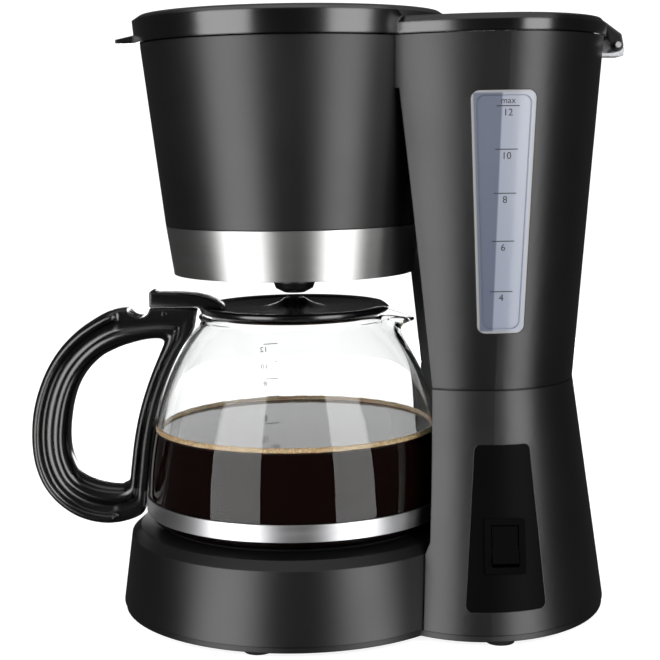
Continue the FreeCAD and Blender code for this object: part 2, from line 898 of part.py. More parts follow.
def drip_stop():
    head_z = valve_seat_z + valve_seal
    flat = bowl_radius / 2
    bowl = turned([(0, bowl_low_z), (flat, bowl_low_z), (bowl_radius - bowl_hole, bowl_floor_z),
                   (bowl_radius, bowl_top_z - bowl_hole), (bowl_radius, bowl_top_z),
                   (bowl_radius - thin, bowl_top_z), (flat + over, bowl_floor_z), (0, bowl_floor_z)])
    for turn in range(4):
        hole = rod(bowl_hole, bowl_low_z, bowl_floor_z + over, flat - 1.5 * bowl_hole)
        hole.rotate(V(0, 0, 0), UP, 90 * turn + 45)
        bowl = bowl.cut(hole)
    stem = rod(stem_radius, bowl_floor_z, head_z)
    return bowl.fuse([stem, rod(valve_radius, head_z, head_z + valve_head)]).removeSplitter()


def drip_seal():
    ring = rod(valve_radius, valve_seat_z, valve_seat_z + valve_seal)
    return ring.cut(rod(stem_radius + touch, valve_seat_z, valve_seat_z + valve_seal))


def drip_spring():
    half = spring_wire / 2
    outer = rod(spring_radius + half, bowl_floor_z + touch, basket_floor_z - touch)
    return outer.cut(rod(spring_radius - half, bowl_floor_z + touch, basket_floor_z - touch))


def riser_tube():
    low = V(tank_port_x, line_y, deck_z - spigot_length)
    corner = V(tank_port_x, line_y, arm_z)
    end = V(0, 0, arm_z) - arm_direction() * (riser_radius / 2)
    return pipe([low, corner, end], riser_bend, riser_radius, riser_bore)


def riser_seal():
    low = tank_floor_z + thin
    high = low + riser_seal_height
    ring = rod(riser_radius + riser_seal_width, low, high, tank_port_x, line_y)
    return ring.cut(rod(riser_radius + touch, low, high, tank_port_x, line_y))


def spray_head():
    low = arm_z - riser_radius - spray_height
    head = rod(spray_radius, low, low + spray_height - over)
    head = head.fuse(rod(riser_radius + thin, low, arm_z + riser_radius + thin))
    start = V(0, 0, arm_z) - arm_direction() * riser_radius / 2
    head = head.cut(Part.makeCylinder(riser_radius + touch, 2 * spray_radius, start, -arm_direction()))
    head = head.cut(rod(riser_bore, low, arm_z))
    for turn in range(spray_holes):
        hole = rod(spray_hole, low, low + spray_height, spray_radius * 2 / 3)
        hole.rotate(V(0, 0, 0), UP, 360 * turn / spray_holes)
        head = head.cut(hole)
    return head


valve_low_z = deck_z - valve_body_height
chamber_low_z = valve_low_z + valve_floor
chamber_top_z = chamber_low_z + 2 * ball_radius + ball_travel + slip


def check_valve():
    x, y = tank_port_x, -line_y
    high = tank_floor_z + thin + over
    low = valve_low_z - spigot_length
    body = rod(valve_body_radius, valve_low_z, deck_z, x, y).fuse(rod(port_radius, deck_z, high, x, y))
    body = body.fuse(rod(spigot_radius, low, valve_low_z, x, y))
    body = body.cut(rod(ball_radius + ball_room, chamber_low_z, chamber_top_z, x, y))
    body = body.cut(rod(ball_radius - ball_room, chamber_top_z, high, x, y))
    body = body.cut(rod(ball_radius - ball_room, low, chamber_low_z, x, y))
    slot = box(x - ball_radius, x + ball_radius, y - skin, y + skin, chamber_low_z - over, chamber_low_z)
    return body.cut(slot)


def valve_ball():
    return Part.makeSphere(ball_radius, V(tank_port_x, -line_y, chamber_low_z + ball_radius + touch))


def hose(side, top):
    end = V(heater_leg + over, side * line_y, water_z)
    corner = V(tank_port_x, side * line_y, water_z)
    start = V(tank_port_x, side * line_y, top)
    return pipe([start, corner, end], hose_bend, hose_radius, spigot_radius + touch)


def egg_taper(z0, inset0, z1, inset1):
    return Part.makeLoft([egg(z0, inset0), egg(z1, inset1)], True, True)


def lid_disc():
    disc = turned([(0, lid_low_z), (lid_skirt_radius, lid_low_z), (lid_radius, lid_shoulder_z),
                   (lid_crown_radius, lid_top_z), (0, lid_top_z)])
    step = lid_low_z + thin
    roof = lid_top_z - lid_wall
    hollow = turned([(0, lid_low_z), (lid_seat_radius, lid_low_z), (lid_seat_radius, step),
                     (lid_skirt_radius - lid_wall, step),
                     (lid_radius - lid_wall, lid_shoulder_z - lid_wall),
                     (lid_crown_radius - lid_wall, roof), (0, roof)])
    return disc, disc.cut(hollow)


def lid_tail():
    brim = tank_lid_z - tank_lid_round
    roof = tank_lid_z - lid_wall
    inset = lid_wall - tank_lid_out
    tail = egg_taper(lid_low_z, -tank_lid_out, brim, -tank_lid_out)
    tail = tail.fuse(egg_taper(brim, -tank_lid_out, tank_lid_z, tank_lid_round - tank_lid_out))
    tail = tail.cut(egg_taper(lid_low_z, inset, roof, inset + over))
    room = cheek_half() + notch_room
    return tail.cut(box(hinge_x - notch_depth, hinge_x, -room, room, lid_low_z, roof))


def lid_tab():
    root = -lid_skirt_radius + 2 * lid_wall
    half = tab_width / 2
    tab = front_prism([(root, lid_low_z, 0.4), (root, lid_low_z + tab_height + 1, 0.4),
                       (-tab_reach, lid_low_z + thin, 0.4), (-tab_reach, lid_low_z, 0.4)], -half, half)
    return tab.cut(rod(lid_seat_radius + over, lid_low_z, lid_top_z))


def lid_arm():
    """Arm from the lid's roof down to the hinge knuckle."""
    half = knuckle_width / 2
    roof = tank_lid_z - lid_wall / 4
    arm = front_prism([(hinge_x - 14, roof, 0.5), (hinge_x - 14, roof - lid_wall, 0.5),
                       (hinge_x - 5.4, lid_low_z + 3, 1), (hinge_x - knuckle_radius, hinge_z, 0.5),
                       (hinge_x + knuckle_radius, hinge_z, 0.5), (hinge_x + 2.4, lid_low_z + 1, 2),
                       (hinge_x - 6.5, roof, 1)], -half, half)
    return arm.fuse(rod_y(knuckle_radius, hinge_x, hinge_z, -half, half))


def lid():
    disc, shell = lid_disc()
    cover = shell.fuse([lid_tail().cut(disc), lid_tab(), lid_arm()]).removeSplitter()
    return cover.cut(rod_y(hinge_pin_radius + touch, hinge_x, hinge_z, -knuckle_width, knuckle_width))


def glass_side(inset):
    """Side of the carafe from the band up to the mouth, in radius and height."""
    points = [(belly_radius, belly_z), (flank_radius, flank_z), (shoulder_radius, shoulder_z),
              (slope_radius, slope_z), (collar_radius, collar_z), (mouth_radius, mouth_z)]
    curve = Part.BSplineCurve()
    curve.interpolate([V(r - inset, 0, z) for r, z in points])
    return curve.toShape()


def glass_volume(inset, low, top_radius, top_z):
    """Solid of revolution of the carafe's outside, drawn in by an inset."""
    round_heel = heel_z - low
    base = [V(0, 0, low), V(belly_radius - inset - round_heel, 0, low)]
    heel = V(belly_radius - inset, 0, heel_z)
    bulge = base[1] + V(round_heel * math.sqrt(0.5), 0, round_heel * (1 - math.sqrt(0.5)))
    belly = V(belly_radius - inset, 0, belly_z)
    mouth = V(mouth_radius - inset, 0, mouth_z)
    top = V(top_radius, 0, top_z)
    edges = [Part.LineSegment(base[0], base[1]).toShape(), Part.Arc(base[1], bulge, heel).toShape(),
             Part.LineSegment(heel, belly).toShape(), glass_side(inset)]
    closing = [mouth, top, V(0, 0, top_z), base[0]]
    edges += [Part.LineSegment(a, b).toShape() for a, b in zip(closing, closing[1:])]
    return Part.Face(Part.Wire(edges)).revolve(V(0, 0, 0), UP, 360)


def spout(inset):
    """Pouring lip: a half cone that opens upwards."""
    start = V(mouth_radius - spout_depth, 0, mouth_z - 2)
    way = V(spout_reach, 0, spout_z) - start
    cone = Part.makeCone(spout_half_width - inset, spout_tip - inset / 2, way.Length, start, way)
    wide = 2 * spout_half_width
    return cone.common(box(0, 2 * spout_reach, -wide, wide, mouth_z - wide, mouth_z))


def carafe_glass():
    outer = glass_volume(0, carafe_z, lip_radius, lip_z).fuse(spout(0))
    inner = glass_volume(glass, carafe_z + glass, lip_radius - thin, lip_z + over / 100)
    return outer.cut(inner).cut(spout(thin))


def carafe_band():
    low, high = carafe_band_low_z, carafe_band_low_z + carafe_band_height
    half = carafe_band_thickness
    ring = rod(belly_radius + touch + half, low, high)
    tongue = box(-belly_radius - tongue_length, -belly_radius - touch, -half, half, low + over, high - over)
    ring = ring.fuse(tongue).cut(rod(belly_radius + touch, low, high))
    hole = rod_y(screw_radius + touch, tongue_screw_x, tongue_screw_z, -2 * half, 2 * half)
    return ring.cut(hole).removeSplitter()


tongue_screw_x = -belly_radius - tongue_screw_inset
tongue_screw_z = carafe_band_low_z + carafe_band_height / 2


def from_top(corners):
    return [(handle_back_x + along, handle_top_z - down, radius) for along, down, radius in corners]


def from_low(corners):
    return [(handle_back_x + along, handle_low_z + rise, radius) for along, rise, radius in corners]


def handle_outline():
    root = [(-belly_radius - handle_heel_reach, carafe_z + handle_clear, 1),
            (-belly_radius, carafe_z + 2 * handle_clear, 0.5),
            (-belly_radius + handle_root, heel_z + handle_root, 2),
            (-collar_radius + handle_neck, collar_z, 2)]
    tip = [(-lip_radius - handle_lip_room, handle_top_z, 1.5)]
    return tip + from_top(grip_upper) + from_low(grip_lower) + root


def handle_hole():
    return from_top(hole_upper) + from_low(hole_lower) + from_top(hole_front)


def handle_pockets():
    """Side grooves of the grip, between its outer and inner flanges."""
    half = handle_width / 2
    outer_face = Part.Face(rounded(handle_outline(), lambda p: V(p.x, 0, p.y)))
    hole_face = Part.Face(rounded(handle_hole(), lambda p: V(p.x, 0, p.y)))
    recess = outer_face.makeOffset2D(-handle_flange).cut(hole_face.makeOffset2D(handle_hole_flange))
    reach = -belly_radius - handle_back_x
    recess = recess.common(Part.makePlane(reach, 2 * handle_top_z, V(handle_back_x, 0, 0), V(0, -1, 0)))
    pockets = []
    for side in (1, -1):
        pocket = recess.extrude(V(0, side * (half - handle_web / 2), 0))
        pocket.translate(V(0, side * handle_web / 2, 0))
        pockets.append(pocket)
    return pockets


def carafe_handle():
    half = handle_width / 2
    top = handle_top_z
    grip = front_prism(handle_outline(), -half, half).cut(front_prism(handle_hole(), -half, half))
    grip = grip.cut(handle_pockets())
    room = handle_gap + carafe_band_thickness
    grip = grip.cut(glass_volume(-room, carafe_z - over, lip_radius + handle_mouth_room, top + over))
    grip = grip.cut(rod_y(notch_radius, notch_x, top + notch_radius - notch_dip, -half, half))
    ear = lever_ear / 2 + slip
    ear_back, ear_front = cap_pin_x - ear_room_back, cap_pin_x + ear_room_front
    grip = grip.cut(box(ear_back, ear_front, -ear, ear, cap_pin_z - notch_dip, top + over))
    grip = grip.cut(rod_y(cap_pin_radius + touch, cap_pin_x, cap_pin_z, -cap_pin_reach, cap_pin_reach))
    slot = carafe_band_thickness + touch
    slot_top = carafe_band_low_z + carafe_band_height + over
    slot_end = -belly_radius - tongue_length - over
    grip = grip.cut(box(slot_end, -belly_radius, -slot, slot, carafe_band_low_z, slot_top))
    head_at = half - tongue_screw_sink
    grip = grip.cut(rod_y(screw_radius + touch, tongue_screw_x, tongue_screw_z, -head_at, half))
    return grip.cut(rod_y(screw_head_radius + snug, tongue_screw_x, tongue_screw_z, head_at, half))


def band_screw():
    seat = handle_width / 2 - tongue_screw_sink
    shank = rod_y(screw_radius, tongue_screw_x, tongue_screw_z, over - seat, seat)
    end = seat + screw_head_height
    return shank.fuse(rod_y(screw_head_radius, tongue_screw_x, tongue_screw_z, seat, end))


def lever_outline():
    """Side of the thumb lever, from the lid's dish over the rim to the raised rest."""
    under = handle_top_z + 0.5
    foot = cap_top_z - 2
    return [(lever_front_x + 4, cap_top_z - 0.4, 0.4), (lever_front_x - 7, lever_top_z - 0.6, 4),
            (lever_back_x + 2, lever_top_z, 0.5), (lever_back_x + 1.6, thumb_top_z, 0.5),
            (lever_back_x, thumb_top_z, 0.5), (lever_back_x, under, 0.5),
            (-cap_rim_radius - 0.5, under, 0.2), (-cap_rim_radius + 0.6, foot, 0.2),
            (lever_front_x - 4, foot, 0.4)]


def carafe_lid():
    low = lip_z + cap_gap
    plug_low = low - cap_plug_depth
    dish = cap_floor_z + thin
    rim = cap_rim_radius
    cap = turned([(cap_bore, low), (cap_plug_radius - thin, low), (cap_plug_radius - thin, plug_low),
                  (cap_plug_radius, plug_low), (cap_plug_radius, low), (rim, low), (rim, cap_top_z - over),
                  (rim - over, cap_top_z), (rim - 5, cap_top_z), (rim - 8, dish), (cap_cone_radius, dish),
                  (cap_neck_radius, cap_neck_z), (cap_bore, cap_neck_z)])
    cap = cap.cut(box(rim - 9, rim + over, -pour_half_width, pour_half_width, low + thin, cap_top_z + over))
    half = lever_ear / 2
    lever = front_prism(lever_outline(), -lever_width / 2, lever_width / 2)
    ear_radius = cap_pin_radius + ear_wall
    ear = rod_y(ear_radius, cap_pin_x, cap_pin_z, -half, half)
    ear_top = handle_top_z + over
    ear = ear.fuse(box(cap_pin_x - ear_wall, cap_pin_x + ear_wall, -half, half, cap_pin_z, ear_top))
    cap = cap.fuse([lever, ear]).removeSplitter()
    return cap.cut(rod_y(cap_pin_radius + touch, cap_pin_x, cap_pin_z, -lever_ear, lever_ear))


def carafe_lid_pin():
    return rod_y(cap_pin_radius, cap_pin_x, cap_pin_z, -cap_pin_reach, cap_pin_reach)


def at_switch(shape):
    """Carry a shape from the switch's own axes (width, height, outwards) onto the panel."""
    x, front, rear, half = tower_level(rocker_z)
    y = -half * math.sqrt(1 - ((panel_mid_x - x) / rear) ** 2)
    turn = FreeCAD.Rotation(V(1, 0, 0), 90 - math.degrees(math.atan(tower_slope)))
    placed = shape.copy()
    placed.Placement = FreeCAD.Placement(V(panel_mid_x, y, rocker_z), turn)
    return placed


switch_half_width = rocker_width / 2 + slip
switch_half_height = rocker_height / 2 + rocker_room


def switch_block(more):
    u = switch_half_width + switch_wall + more
    v = switch_half_height + switch_wall + more
    return box(-u, u, -v, v, -switch_depth, touch + more)


def switch_rim(more):
    u = switch_half_width + switch_wall + bezel + more
    v = switch_half_height + switch_wall + bezel + more
    return box(-u, u, -v, v, touch - more, touch + bezel_height)


def switch_body():
    u, v = switch_half_width, switch_half_height
    block = switch_block(0).fuse(switch_rim(0))
    block = block.cut(box(-u, u, -v, v, -rocker_depth - 2, bezel_height + over))
    reach = u + switch_wall / 2 + touch
    axle = V(-reach, 0, -rocker_pivot_depth)
    block = block.cut(Part.makeCylinder(rocker_pin_radius + touch, 2 * reach, axle, V(1, 0, 0)))
    for side in (1, -1):
        x = side * blade_spread
        tag = box(x - blade_half_width, x + blade_half_width, blade_rise - blade_half_thickness,
                  blade_rise + blade_half_thickness, -switch_depth - blade, -switch_depth)
        block = block.fuse(tag)
    return at_switch(block.removeSplitter())


def rocker():
    w, v = rocker_width / 2, rocker_height / 2
    side = [V(-w, -v, rocker_proud), V(-w, 0, rocker_proud - rocker_dip), V(-w, v, rocker_proud),
            V(-w, v - rocker_draft, -rocker_depth), V(-w, rocker_draft - v, -rocker_depth)]
    key = Part.Face(Part.makePolygon(side + side[:1])).extrude(V(rocker_width, 0, 0))
    reach = switch_half_width + switch_wall / 2
    axle = V(-reach, 0, -rocker_pivot_depth)
    key = key.fuse(Part.makeCylinder(rocker_pin_radius, 2 * reach, axle, V(1, 0, 0)))
    key.rotate(V(0, 0, -rocker_pivot_depth), V(1, 0, 0), -rocker_throw)
    return at_switch(Part.makeCompound([key]))


def terminal_block():
    back_y = block_front_y + block_width
    return box(block_x, block_x + block_length, block_front_y, back_y, base_z, base_z + block_height)


def cord_gland():
    point, out = tower_point(gland_angle, gland_z)
    deep = point - out * gland_depth
    plug = Part.makeCylinder(gland_radius, gland_depth + gland_flange, deep, out)
    collar = Part.makeCylinder(gland_radius + gland_lip, gland_flange + over, point - out * over, out)
    plug = plug.fuse(collar)
    plug = plug.cut(lower_tower())
    plug = plug.cut(Part.makeCylinder(cord_bore, 2 * gland_depth, deep - out, out))
    return max(plug.Solids, key=lambda solid: solid.Volume)


def wires():
    low = base_z + block_height / 2
    blade_z = rocker_z - switch_tag_drop
    live_x = panel_mid_x + blade_spread
    fused_x = panel_mid_x - blade_spread
    fuse_z = heater_low + fuse_radius
    drop_x = drum_radius + neutral_room
    pin_end = heater_leg + pin_length
    rise_x = pin_end + neutral_rise
    live = [V(block_x, live_y, low), V(live_x, live_y, low), V(live_x, -fuse_y, low),
            V(live_x, -fuse_y, blade_z), V(live_x, switch_tag_y, blade_z)]
    fused = [V(fused_x, switch_tag_y, blade_z), V(fused_x, -fuse_y, blade_z), V(fused_x, -fuse_y, fuse_z),
             V(clamp_x + fuse_length / 2, -fuse_y, fuse_z)]
    neutral = [V(block_x, neutral_y, low), V(drop_x, neutral_y, low), V(drop_x, neutral_y, neutral_z),
               V(rise_x, neutral_y, neutral_z), V(rise_x, neutral_y, pin_z), V(rise_x, line_y, pin_z),
               V(pin_end, line_y, pin_z)]
    return Part.makeCompound([pipe(route, wire_bend, wire_radius) for route in (live, fused, neutral)])


def screws(places, z, length):
    return Part.makeCompound([screw_up(x, y, z, length) for x, y in places])


clamp_screws_at = [(clamp_x, clamp_screw_y), (clamp_x, -clamp_screw_y)]
pieces = {
    "rubber_feet": feet(),
    "base_plate": base_plate(),
    "base_screws": screws(drum_screws + tower_screws, foot_height, screw_length),
    "base_drum": base_drum(),
    "hotplate": hotplate(),
    "hotplate_seal": hotplate_seal(),
    "heater": heater(),
    "heater_clamp": heater_clamp(),
    "clamp_screws": screws(clamp_screws_at, heater_low - clamp_thickness, screw_length - 2),
    "thermostat": thermostat(),
    "thermostat_clip": thermostat_clip(),
    "thermal_fuse": thermal_fuse(),
    "lower_tower": lower_tower(),
    "switch_panel": switch_panel(),
    "switch_body": switch_body(),
    "rocker": rocker(),
    "terminal_block": terminal_block(),
    "wires": wires(),
    "cord_gland": cord_gland(),
    "filter_housing": filter_housing(),
    "housing_screws": housing_screws(),
    "tank_shell": tank_shell(),
    "deck_screws": screws(deck_screws, deck_z, deck_screw_length),
    "steel_band": steel_band(),
    "level_window": level_window(),
    "water_tank": water_tank(),
    "check_valve": check_valve(),
    "valve_ball": valve_ball(),
    "cold_hose": hose(-1, valve_low_z - slip),
    "hot_hose": hose(1, deck_z - 3),
    "riser_tube": riser_tube(),
    "riser_seal": riser_seal(),
    "spray_head": spray_head(),
    "filter_basket": filter_basket(),
    "drip_stop": drip_stop(),
    "drip_seal": drip_seal(),
    "drip_spring": drip_spring(),
    "lid": lid(),
    "lid_hinge_pin": hinge_pin(),
    "carafe_glass": carafe_glass(),
    "carafe_band": carafe_band(),
    "carafe_handle": carafe_handle(),
    "band_screw": band_screw(),
    "carafe_lid": carafe_lid(),
    "carafe_lid_pin": carafe_lid_pin(),
}
for node, shape in pieces.items():
    export(node, shape)
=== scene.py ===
# %% [markdown]
# # A drip coffee maker, dressed for its picture
# The machine's solids are already built and packed, in metres, standing on z = 0 with the switch
# towards -y. This lesson loads them, puts a camera and soft lights where the photograph had them,
# gives every solid a worked-out finish, and models the pieces that solids show poorly: the blown
# glass, the coffee and its foam, the pot's lid and handle, the printed marks and a small spring.

# %% Load the machine
import json
import math
import bpy
from mathutils import Matrix, Vector


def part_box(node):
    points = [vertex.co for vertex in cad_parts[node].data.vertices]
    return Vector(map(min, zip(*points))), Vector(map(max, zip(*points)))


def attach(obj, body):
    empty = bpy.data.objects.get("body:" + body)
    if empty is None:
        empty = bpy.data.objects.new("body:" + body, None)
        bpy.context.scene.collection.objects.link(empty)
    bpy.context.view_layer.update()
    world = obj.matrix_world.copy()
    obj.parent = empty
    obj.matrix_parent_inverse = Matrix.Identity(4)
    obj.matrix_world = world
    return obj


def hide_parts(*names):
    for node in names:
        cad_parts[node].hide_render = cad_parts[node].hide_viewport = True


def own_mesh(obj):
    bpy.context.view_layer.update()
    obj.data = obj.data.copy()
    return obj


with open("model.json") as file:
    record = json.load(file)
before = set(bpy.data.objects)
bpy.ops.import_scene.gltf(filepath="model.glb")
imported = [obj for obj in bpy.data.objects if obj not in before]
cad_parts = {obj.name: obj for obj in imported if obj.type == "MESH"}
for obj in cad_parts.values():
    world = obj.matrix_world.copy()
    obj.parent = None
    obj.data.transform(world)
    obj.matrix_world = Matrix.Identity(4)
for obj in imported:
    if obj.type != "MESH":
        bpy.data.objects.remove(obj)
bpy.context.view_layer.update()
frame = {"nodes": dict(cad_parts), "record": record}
nodes = frame["nodes"]
carafe_axis_x = -0.0168

# %% [markdown]
# ## The camera
# The picture was taken with a long lens from below the lid's height, looking slightly down. The
# place and the tilts were worked out from the machine's own edges, so they are set as a matrix: its
# columns are the camera's right, up and backward directions.

# %% Camera at the photograph's place
camera_place = (0.00152, -0.78173, 0.25068)
lens_mm, sensor_mm, pitch, roll = 81.46, 36.0, 0.1321, -0.0152
bpy.ops.object.select_all(action="DESELECT")
bpy.ops.object.camera_add(location=(0, 0, 0))
camera = bpy.context.object
camera.data.lens = lens_mm
camera.data.sensor_width = sensor_mm
forward = Vector((0, math.cos(pitch), -math.sin(pitch)))
level_up = Vector((0, math.sin(pitch), math.cos(pitch)))
right = Vector((1, 0, 0)) * math.cos(roll) + level_up * math.sin(roll)
up = level_up * math.cos(roll) - Vector((1, 0, 0)) * math.sin(roll)
turn = Matrix((right, up, -forward)).transposed().to_4x4()
camera.matrix_world = Matrix.Translation(camera_place) @ turn
bpy.context.scene.camera = camera
bpy.context.scene.view_settings.view_transform = "Standard"
print("camera at", [round(v, 3) for v in camera.matrix_world.translation])

# %% [markdown]
# ## Shader sums
# A finish is easier to read as arithmetic than as a list of boxes and wires. One small class holds
# a socket: adding or multiplying two of them adds a Math node, and one method adds any other node.

# %% A class for shader arithmetic
class Wire:
    """A socket of a material's node tree."""

    def __init__(self, tree, socket=None):
        self.tree = tree
        self.socket = socket

    def node(self, kind, settings=None, sockets=None, out=0):
        made = self.tree.nodes.new("ShaderNode" + kind)
        for key, value in (settings or {}).items():
            setattr(made, key, value)
        for key, value in (sockets or {}).items():
            if isinstance(value, Wire):
                self.tree.links.new(value.socket, made.inputs[key])
            else:
                made.inputs[key].default_value = value
        return Wire(self.tree, made.outputs[out])

    def sums(self, operation, first, second):
        return self.node("Math", {"operation": operation}, {0: first, 1: second})

    def __add__(self, other):
        return self.sums("ADD", self, other)

    def __sub__(self, other):
        return self.sums("SUBTRACT", self, other)

    def __rsub__(self, other):
        return self.sums("SUBTRACT", other, self)

    def __mul__(self, other):
        return self.sums("MULTIPLY", self, other)


print("shader sums ready")

# %% [markdown]
# ## The few steps that every finish uses
# A finish starts as a blank material with its fixed values. The rest is noise in Object
# coordinates, smooth steps between two limits, mixes of two colours, and a normal that rounds the
# edges under a fine relief.

# %% Steps for finishes
def blank(name, constants):
    """A new material, its shader with the fixed values set, and the Object coordinates to paint with."""
    material = bpy.data.materials.new(name)
    material.use_nodes = True
    shader = material.node_tree.nodes["Principled BSDF"]
    for key, value in constants.items():
        shader.inputs[key].default_value = value
    return material, shader, Wire(material.node_tree).node("TexCoord", out="Object")


def feed(shader, socket, wire):
    wire.tree.links.new(wire.socket, shader.inputs[socket])


def along(place, letter):
    """One coordinate of a place: X, Y or Z."""
    return place.node("SeparateXYZ", sockets={0: place}, out=letter)


def noise(place, scale, detail=2.0):
    return place.node("TexNoise", sockets={"Vector": place, "Scale": scale, "Detail": detail})


def stretched(place, scale):
    return place.node("Mapping", sockets={"Vector": place, "Scale": scale})


def step(value, low, high):
    return value.node("MapRange", {"interpolation_type": "SMOOTHSTEP"},
                      {"Value": value, "From Min": low, "From Max": high})


def mixed(mask, first, second):
    return mask.node("Mix", {"data_type": "RGBA"}, {0: mask, 6: first, 7: second}, out=2)


def two_tone(mask, dark, light):
    return mixed(mask, (*dark, 1), (*light, 1))


def grained(place, height, strength, depth, edge):
    """A normal with edges rounded as a mould leaves them, and a fine relief over it."""
    rounded = place.node("Bevel", {"samples": 4}, {"Radius": edge})
    return place.node("Bump", sockets={"Strength": strength, "Distance": depth, "Height": height,
                                       "Normal": rounded})


print("steps for finishes ready")

# %% [markdown]
# ## Moulded plastics
# Satin black mouldings have a fine spark-eroded grain and a gloss that wanders a little over the
# wall; the lid's rims, the handle and the carafe's lid are polished instead. All are one recipe: a
# noise that mixes two close blacks and shifts the roughness, a grain, and rounded edges. The lid's
# flat tops are dulled, so that they do not mirror the lamps.

# %% Recipe for mouldings
grain_depth, grain_scale, dulled_by = 0.0002, 1900.0, 0.35
tank_side_x, tank_lid_drop, lid_top_z = (0.034, 0.040), 0.0052, (0.3086, 0.3094)


def moulded(name, colour, rough, grain, edge=0.0007, ior=1.5, matt=None):
    """A moulding's finish; matt, if given, draws from a place where the polish is dulled."""
    material, shader, place = blank(name, {"IOR": ior})
    drift = noise(place, 22.0, 3.0)
    feed(shader, "Base Color", two_tone(drift, [c * 0.7 for c in colour], [c * 1.3 for c in colour]))
    gloss = drift * 0.1 + (rough - 0.05)
    feed(shader, "Roughness", gloss + matt(place) * dulled_by if matt else gloss)
    feed(shader, "Normal", grained(place, noise(place, grain_scale), grain, grain_depth, edge))
    return material


def lid_top(place):
    """One on the lid's flat tops, which step down from the filter to the tank, and zero on its rims."""
    over_tank = step(along(place, "X"), *tank_side_x)
    return step(along(place, "Z") + over_tank * tank_lid_drop, *lid_top_z)


finishes = {
    "body_black": moulded("satin_black", (0.0016, 0.0016, 0.0017), 0.38, 0.10),
    "base_black": moulded("matt_black", (0.0012, 0.0012, 0.0012), 0.45, 0.2),
    "gloss_black": moulded("polished_black", (0.0010, 0.0010, 0.0011), 0.20, 0.02, 0.0012, 1.66),
    "switch_black": moulded("switch_black", (0.0006, 0.0006, 0.0006), 0.5, 0.04, 0.0004, 1.12),
    "basket_black": moulded("basket_black", (0.004, 0.004, 0.004), 0.4, 0.1),
    "plate_coat": moulded("plate_coating", (0.006, 0.006, 0.006), 0.38, 0.3, 0.0003),
    "rubber": moulded("soft_rubber", (0.004, 0.004, 0.004), 0.7, 0.35, 0.0003),
    "pipe_white": moulded("natural_pipe", (0.16, 0.16, 0.155), 0.4, 0.08, 0.0003),
    "hose_silicone": moulded("milky_hose", (0.15, 0.15, 0.145), 0.45, 0.08, 0.0003),
    "phenolic": moulded("brown_phenolic", (0.03, 0.012, 0.007), 0.5, 0.2, 0.0003),
    "wire_sleeve": moulded("woven_sleeve", (0.11, 0.1, 0.085), 0.7, 0.5, 0.0002),
}
lid_black = moulded("lid_black", (0.0010, 0.0010, 0.0011), 0.20, 0.06, 0.0012, 1.66, lid_top)
print("mouldings:", sorted(finishes))

# %% [markdown]
# ## Metals
# The band is brushed round its girth, so its grain is a noise squeezed hard in z. The carafe's
# strap is plated steel, and the fixings are plain zinc.

# %% Recipe for metals
def metal(name, colour, rough, grain, squeeze):
    material, shader, place = blank(name, {"Metallic": 1.0})
    streak = noise(stretched(place, squeeze), 1.0, 4.0)
    drift = noise(place, 30.0)
    feed(shader, "Base Color", two_tone(streak * 0.6 + drift * 0.4, [c * 0.9 for c in colour], colour))
    feed(shader, "Roughness", streak * 0.12 + drift * 0.05 + (rough - 0.08))
    feed(shader, "Normal", grained(place, streak, grain, 0.0001, 0.0003))
    return material


finishes["band_steel"] = metal("brushed_band", (0.42, 0.418, 0.415), 0.34, 0.05, (6, 6, 1800))
finishes["carafe_chrome"] = metal("plated_strap", (0.52, 0.52, 0.53), 0.40, 0.02, (9, 9, 500))
finishes["fixing_steel"] = metal("zinc_fixings", (0.42, 0.42, 0.43), 0.36, 0.1, (300, 300, 300))
finishes["heater_alloy"] = metal("cast_alloy", (0.45, 0.45, 0.46), 0.55, 0.4, (700, 700, 700))
finishes["fuse_case"] = metal("fuse_case", (0.5, 0.5, 0.5), 0.3, 0.05, (400, 400, 400))
print("metals ready")

# %% [markdown]
# ## Milky plastics
# The tank is a greyish, slightly milky moulding. The level window shows two tones: the strip
# nearer the carafe is shaded, the rest catches the light, with a nearly upright edge between. The
# pane leans with the tower, so that edge is drawn from x and z. A pale border runs round the pane,
# which is wider at the top.

# %% Tank and window
material, shader, place = blank("milky_tank", {"Transmission Weight": 0.55, "IOR": 1.49})
haze = noise(place, 60.0, 3.0)
feed(shader, "Base Color", two_tone(haze, (0.52, 0.53, 0.55), (0.70, 0.71, 0.73)))
feed(shader, "Roughness", haze * 0.12 + 0.2)
finishes["clear_tank"] = material

pane_lean, shade_edge_x = 0.028, (0.0765, 0.0775)
pane_x, pane_z, pane_half_height = 0.0852, 0.2101, 0.0589
half_width_at_floor, half_width_growth = 0.0058, 0.0373
border_width, border_tint = (0.0008, 0.0017), (0.165, 0.166, 0.170, 1)
material, shader, place = blank("frosted_window", {"IOR": 1.49, "Coat Weight": 0.25, "Coat Roughness": 0.1})
side, height = along(place, "X"), along(place, "Z")
lit = step(side - height * pane_lean, *shade_edge_x)
cloud = noise(place, 45.0, 3.0)
tone = step(height, 0.15, 0.27) * 0.7 + cloud * 0.3
shade = two_tone(tone, (0.057, 0.067, 0.096), (0.068, 0.078, 0.106))
light = two_tone(tone, (0.140, 0.155, 0.195), (0.180, 0.192, 0.228))
half_width = height * half_width_growth + half_width_at_floor
from_side = half_width - place.sums("ABSOLUTE", side - pane_x, 0.0)
from_end = pane_half_height - place.sums("ABSOLUTE", height - pane_z, 0.0)
border = 1 - step(place.sums("MINIMUM", from_side, from_end), *border_width)
feed(shader, "Base Color", mixed(border, mixed(lit, shade, light), border_tint))
feed(shader, "Roughness", cloud * 0.1 + 0.3)
feed(shader, "Normal", grained(place, noise(place, 1500.0), 0.05, grain_depth, 0.0008))
finishes["window_clear"] = material
print("tank and window ready")

# %% [markdown]
# ## Finishes on the solids
# Each solid names a material slot, and the slot names the finish. Two solids get a finish of their
# own: the switch panel is as deep a black as the switch, and the lid has its dulled tops.

